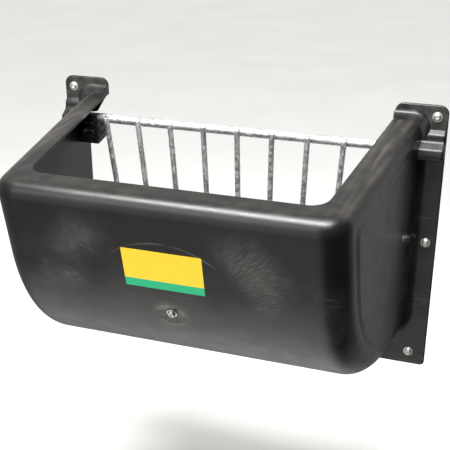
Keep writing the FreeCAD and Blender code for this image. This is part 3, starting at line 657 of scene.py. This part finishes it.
def closing_bolt(plate):
    """Bolt, washer and nut in the dish on the front."""
    bolt_length = 20 * MM
    nut_height = 6.5 * MM
    outward = (middle_of("front_washer") - middle_of("front_nut")).normalized()
    seat = middle_of("front_washer") - outward * WASHER_THICK / 2
    disc = flat_washer()
    settle(disc, pointing(seat, outward))
    finish_piece(disc, "closing_washer", "trough", plate, "zinc_plated_steel", "front_washer")
    stud = domed_bolt(bolt_length)
    settle(stud, pointing(seat + outward * WASHER_THICK, outward))
    finish_piece(stud, "closing_bolt", "trough", plate, "zinc_plated_steel", "front_bolt")
    nut = hexagon_nut(size_of("front_nut").x / 2, nut_height, BOLT_CREST)
    inside = middle_of("front_nut") + outward * nut_height / 2
    settle(nut, pointing(inside, -outward))
    finish_piece(nut, "closing_nut", "trough", plate, "zinc_plated_steel", "front_nut")


def finish_as_built(name, material):
    """Finish of a CAD node that keeps its own shape."""
    NODES[name].data.materials.clear()
    NODES[name].data.materials.append(material)


def bracket_screws(plate):
    """Plating on the four screws that hold the brackets, which keep their CAD shape."""
    for side in ("left", "right"):
        for row in ("upper", "lower"):
            finish_as_built(f"bracket_screw_{side}_{row}", plate)


# ---------------------------------------------------------------- plastic pieces

def eased_copy(source_node, width):
    """Copy of a CAD piece with its facets joined up, its flats made whole and its edges rounded."""
    same_corner = 0.01 * MM
    same_plane = math.radians(0.5)
    crisp = math.radians(30)
    piece = twin(NODES[source_node])
    del piece["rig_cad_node"]
    piece.parent = None
    bpy.ops.mesh.customdata_custom_splitnormals_clear()
    open_edit(piece, "VERT")
    bpy.ops.mesh.remove_doubles(threshold=same_corner)
    bpy.ops.mesh.dissolve_limited(angle_limit=same_plane)
    close_edit()
    apply_modifier(
        piece, "BEVEL", width=width, segments=3, limit_method="ANGLE", angle_limit=crisp
    )
    return piece


def rail_brackets(plastic):
    """Ribbed block at each end of the rail, with eased edges."""
    moulded_edge = 0.6 * MM
    for side in ("left", "right"):
        source = f"{side}_rail_bracket"
        piece = eased_copy(source, moulded_edge)
        finish_piece(piece, f"ribbed_bracket_{side}", "trough", plastic, "bracket_polyamide", source)


def side_plugs(plastic):
    """Push-in plug on each side: a domed cap with a shallow dimple, on its shank."""
    cap = 2.8 * MM
    rim = 0.6 * MM
    shank_radius, shank_length = 3.9 * MM, 9 * MM
    point_radius, point_start = 3.2 * MM, 7.5 * MM
    wall_lean = 0.1095
    for side, across in (("left", -1), ("right", 1)):
        source = f"{side}_side_plug"
        low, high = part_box(source)
        radius = size_of(source).z / 2
        outward = Vector((across, -wall_lean, 0)).normalized()
        tip = Vector((high.x if across > 0 else low.x, (low.y + high.y) / 2, (low.z + high.z) / 2))
        shank = [(point_radius, -shank_length), (shank_radius, -point_start), (shank_radius, 0)]
        dome = [(radius, 0)] + quarter_round(0.55 * radius, radius, rim, cap - rim, 6)
        dimple = [
            (0.45 * radius, cap - 0.1 * MM),
            (0.38 * radius, cap - 0.6 * MM),
            (0.10 * radius, cap - 0.8 * MM),
        ]
        plug = turned(shank + dome + dimple, 40)
        settle(plug, pointing(tip - outward * cap, outward))
        finish_piece(plug, f"push_in_plug_{side}", "trough", plastic, "plug_polyethylene", source)


def label(film):
    """Thin printed label, laid on the sloping front and following it."""
    held_off = 2 * MM
    corner_radius = 1.6 * MM
    glue = 0.12 * MM
    film_thick = 0.3 * MM
    low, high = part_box("sticker")
    width = high.x - low.x
    rise = Vector((0, low.y - high.y, high.z - low.z))
    height = rise.length
    up = rise.normalized()
    outward = up.cross(Vector((-1, 0, 0)))
    if outward.y > 0:
        outward = -outward
    bpy.ops.mesh.primitive_grid_add(x_subdivisions=30, y_subdivisions=18, size=1)
    sheet = bpy.context.object
    turn = Matrix((Vector((1, 0, 0)), up, outward)).transposed().to_4x4()
    stretch = Matrix.Diagonal((width, height, 1, 1))
    settle(sheet, Matrix.Translation((low + high) / 2 + outward * held_off) @ turn @ stretch)
    on_side, near_end = 0.01 * MM, 0.6 * MM
    open_edit(
        sheet,
        "VERT",
        lambda co: abs(abs(co.x) - width / 2) < on_side
        and min(abs(co.z - low.z), abs(co.z - high.z)) < near_end,
    )
    bpy.ops.mesh.bevel(offset=corner_radius, segments=4, affect="VERTICES")
    close_edit()
    apply_modifier(
        sheet,
        "SHRINKWRAP",
        target=NODES["trough_shell"],
        wrap_method="NEAREST_SURFACEPOINT",
        wrap_mode="ABOVE_SURFACE",
        offset=glue,
    )
    apply_modifier(sheet, "SOLIDIFY", thickness=film_thick, offset=1.0)
    finish_piece(sheet, "front_label", "trough", film, "label_vinyl", "sticker")


# ---------------------------------------------------------------- grid

CUT_EASE = 1.4 * MM
CROSS_MEMBERS = (
    ("hinge_rail", "rail", RAIL_RADIUS),
    ("lower_cross_bar", "cross_bar", CROSS_RADIUS),
)


def round_rod(radius, length, spacing):
    """Rod along Z with eased ends, divided along its length."""
    bpy.ops.mesh.primitive_cylinder_add(vertices=24, radius=radius, depth=length)
    rod = bpy.context.object
    open_edit(rod, "EDGE", lambda a, b: abs(a.z - b.z) < length / 2)
    bpy.ops.mesh.bevel(offset=CUT_EASE, segments=4)
    close_edit()
    open_edit(rod, "EDGE", lambda a, b: abs(a.z - b.z) > length / 2)
    bpy.ops.mesh.subdivide(number_cuts=round(length / spacing))
    close_edit()
    return rod


def between(start, end, length):
    """Matrix that lays a rod of that length along Z between two points."""
    along = end - start
    stretch = Matrix.Diagonal((1, 1, along.length / length, 1))
    return pointing((start + end) / 2, along.normalized()) @ stretch


def join_pieces(first, *others):
    """Make the other pieces part of the first."""
    alone(first)
    for other in others:
        other.select_set(True)
    bpy.ops.object.join()


def zinc_drip():
    """Small run of zinc that hangs from the lower end of a bar."""
    radius, fall = 2.4 * MM, 2.2 * MM
    root = [(0.4 * radius, 1.5 * MM), (radius, 0.8 * MM), (radius, 0.0)]
    return turned(root + quarter_round(0.15 * radius, radius, 0.0, -fall, 5), 16)


def grid_bars(zinc):
    """The upright bars, each with its zinc skin and a small run at its foot."""
    length = size_of("grid_bar_5").z
    skin_room, skin_depth = 0.1 * MM, 0.5 * MM
    skin_spacing = 4 * MM
    run_offset = Vector((0.6 * MM, -0.8 * MM, 0.3 * MM))
    model = round_rod(BAR_RADIUS - skin_room, length, skin_spacing)
    drip = zinc_drip()
    for number in range(1, BAR_COUNT + 1):
        top, foot = bar_ends(number)
        bar = twin(model)
        settle(bar, between(foot, top, length))
        run = twin(drip)
        settle(run, Matrix.Translation(foot + run_offset))
        join_pieces(bar, run)
        zinc_skin(bar, skin_depth)
        finish_piece(bar, f"bar_{number}", "grid", zinc, "galvanised_steel", f"grid_bar_{number}")
    bpy.data.objects.remove(model)
    bpy.data.objects.remove(drip)


def cross_rods(zinc):
    """Hinge rail above and the cross bar below."""
    skin_room, skin_depth = 0.05 * MM, 0.25 * MM
    skin_spacing = 5 * MM
    for source, name, radius in CROSS_MEMBERS:
        low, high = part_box(source)
        axis = (low + high) / 2
        start = Vector((low.x, axis.y, axis.z))
        end = Vector((high.x, axis.y, axis.z))
        length = high.x - low.x
        rod = round_rod(radius - skin_room, length, skin_spacing)
        settle(rod, between(start, end, length))
        zinc_skin(rod, skin_depth)
        finish_piece(rod, name, "grid", zinc, "galvanised_steel", source)


def weld_bead():
    """Short run of weld along Z: a drawn-out drop with the ripples of its passes."""
    half_length, radius = 4.6 * MM, 2.3 * MM
    rings = 13
    bluntness = 0.6
    ripples, ripple_share = 5, 0.05
    points = []
    for part in range(rings):
        share = (part + 0.5) / rings
        swell = math.sin(share * math.pi) ** bluntness
        ripple = 1 + ripple_share * math.cos(share * ripples * 2 * math.pi)
        points.append((radius * swell * ripple, half_length * (2 * share - 1)))
    return turned(points, 14)


def welds(zinc):
    """A bead on each side of every bar where it crosses the rail and the cross bar. On the rail one
    more lies on top."""
    beside_bar = 4.4 * MM
    over_bar = Vector((0, 0.6 * MM, 6.8 * MM))
    skin_depth = 0.6 * MM
    bead = weld_bead()
    for source, name, radius in CROSS_MEMBERS:
        rod = middle_of(source)
        for number in range(1, BAR_COUNT + 1):
            top, foot = bar_ends(number)
            along = (top - foot).normalized()
            share = (rod.z - foot.z) / (top.z - foot.z)
            crossing = foot + (top - foot) * share
            gap = (crossing.y - rod.y) * radius / (radius + BAR_RADIUS)
            contact = Vector((crossing.x, rod.y + gap, rod.z))
            beads = []
            for side in (-1, 1):
                drop = twin(bead)
                settle(drop, pointing(contact + Vector((side * beside_bar, 0, 0)), along))
                beads.append(drop)
            if source == "hinge_rail":
                over = twin(bead)
                settle(over, pointing(contact + over_bar, Vector((1, 0, 0))))
                beads.append(over)
            join_pieces(*beads)
            zinc_skin(beads[0], skin_depth)
            weld_name = f"weld_{name.removesuffix('_bar')}_{number}"
            finish_piece(beads[0], weld_name, "grid", zinc, "galvanised_steel")
    bpy.data.objects.remove(bead)


# ---------------------------------------------------------------- view, light and floor

VIEW_AZIMUTH = math.radians(18.908)
VIEW_ELEVATION = math.radians(22.741)
VIEW_DISTANCE = 1.441
AIM_FROM_MIDDLE = Vector((0.016, 0.028, 0.050))
LENS_MM = 69.02


def place_camera():
    """Looks down on the trough from the front, a little from the right."""
    level = math.cos(VIEW_ELEVATION)
    back = Vector(
        (math.sin(VIEW_AZIMUTH) * level, -math.cos(VIEW_AZIMUTH) * level, math.sin(VIEW_ELEVATION))
    )
    aim = object_middle() + AIM_FROM_MIDDLE
    bpy.ops.object.camera_add(location=aim + back * VIEW_DISTANCE)
    camera = bpy.context.object
    camera.name = "camera"
    camera.rotation_mode = "QUATERNION"
    camera.rotation_quaternion = (-back).to_track_quat("-Z", "Y")
    camera.data.lens = LENS_MM
    bpy.context.scene.camera = camera


def soft_box(name, place, aim, size, power):
    """Rectangular soft light aimed at a point."""
    bpy.ops.object.light_add(type="AREA", location=place)
    light = bpy.context.object
    light.name = name
    light.data.shape = "RECTANGLE"
    light.data.size, light.data.size_y = size
    light.data.energy = power
    light.rotation_mode = "QUATERNION"
    light.rotation_quaternion = (Vector(aim) - Vector(place)).to_track_quat("-Z", "Y")


def sky_light():
    """Wide even light from above."""
    overhead, tilt = (0, 0, 3), (0.2, 0.0, 0.3)
    bpy.ops.object.light_add(type="SUN", location=overhead, rotation=tilt)
    light = bpy.context.object
    light.name = "ceiling"
    light.data.energy = 2.0
    light.data.angle = math.radians(45)


def lay_floor(paint):
    """Plain pale floor below the object, which hangs on a wall. The plastic doesn't mirror it:
    the room's own lower half does that."""
    drop = 0.4
    reach = 24.0
    bpy.ops.mesh.primitive_plane_add(size=reach, location=(0, 0, CAD_BOX[0].z - drop))
    floor = bpy.context.object
    floor.name = "floor"
    floor.data.materials.append(paint)
    floor.visible_glossy = False


def studio_room():
    """Pale room: bright behind and above, a lit floor straight below, dim to the right of the front.
    The camera sees it plain and pale."""
    world = bpy.data.worlds.new("studio_room")
    bpy.context.scene.world = world
    world.use_nodes = True
    tree = world.node_tree
    tree.nodes.clear()
    way = node(tree, "TexCoord").outputs["Generated"]
    right, back, up = node(tree, "SeparateXYZ", {0: way}).outputs
    limits = {
        "below": (up, -0.62, -0.94),
        "ahead": (back, -0.66, -0.92),
        "behind": (back, 0.0, 0.7),
        "not_low": (up, -0.9, 0.2),
        "right": (right, -0.1, 0.3),
        "not_behind": (back, 0.75, 0.3),
    }
    part = {}
    for name, (value, low, high) in limits.items():
        ramp = {"Value": value, "From Min": low, "From Max": high}
        part[name] = node(tree, "MapRange", ramp, **EASED)
    back_wall = node(tree, "Math", {0: part["behind"], 1: part["not_low"]}, **TIMES)
    corner = node(tree, "Math", {0: part["right"], 1: part["not_behind"]}, **TIMES)
    keep = node(tree, "Math", {0: corner, 1: -0.98, 2: 1.0}, **TIMES_PLUS)
    ambient = 0.24
    glow = node(tree, "Math", {0: part["below"], 1: 0.85, 2: ambient}, **TIMES_PLUS)
    glow = node(tree, "Math", {0: back_wall, 1: 0.33, 2: glow}, **TIMES_PLUS)
    glow = node(tree, "Math", {0: part["ahead"], 1: 0.75, 2: glow}, **TIMES_PLUS)
    glow = node(tree, "Math", {0: glow, 1: keep}, **TIMES)
    seen = node(tree, "Background", {"Color": linear("#F4F4F3"), "Strength": 1.0})
    cast = node(tree, "Background", {"Color": linear("#FFFDFA"), "Strength": glow})
    eye = node(tree, "LightPath").outputs["Is Camera Ray"]
    both = node(tree, "MixShader", {0: eye, 1: cast, 2: seen})
    node(tree, "OutputWorld", {"Surface": both})


# ---------------------------------------------------------------- the object

bpy.ops.object.select_all(action="DESELECT")
bpy.context.scene.view_settings.view_transform = "Standard"
studio_room()
place_camera()
lay_floor(rolled_paint())
sky_light()
soft_box("lip_strip", place=(0.0, -0.75, 1.25), aim=(0, -0.38, -0.05), size=(1.5, 0.42), power=62.0)
soft_box("front_fill", place=(-0.77, -1.95, 1.05), aim=(0, -0.2, -0.2), size=(1.2, 0.8), power=10.0)

plate = zinc_plated_steel()
zinc = galvanised_steel()
finish_as_built("trough_shell", moulded_polyethylene())
wall_fixings(plate)
closing_bolt(plate)
bracket_screws(plate)
rail_brackets(black_polyamide())
side_plugs(plug_polyethylene())
label(printed_vinyl())
grid_bars(zinc)
cross_rods(zinc)
welds(zinc)
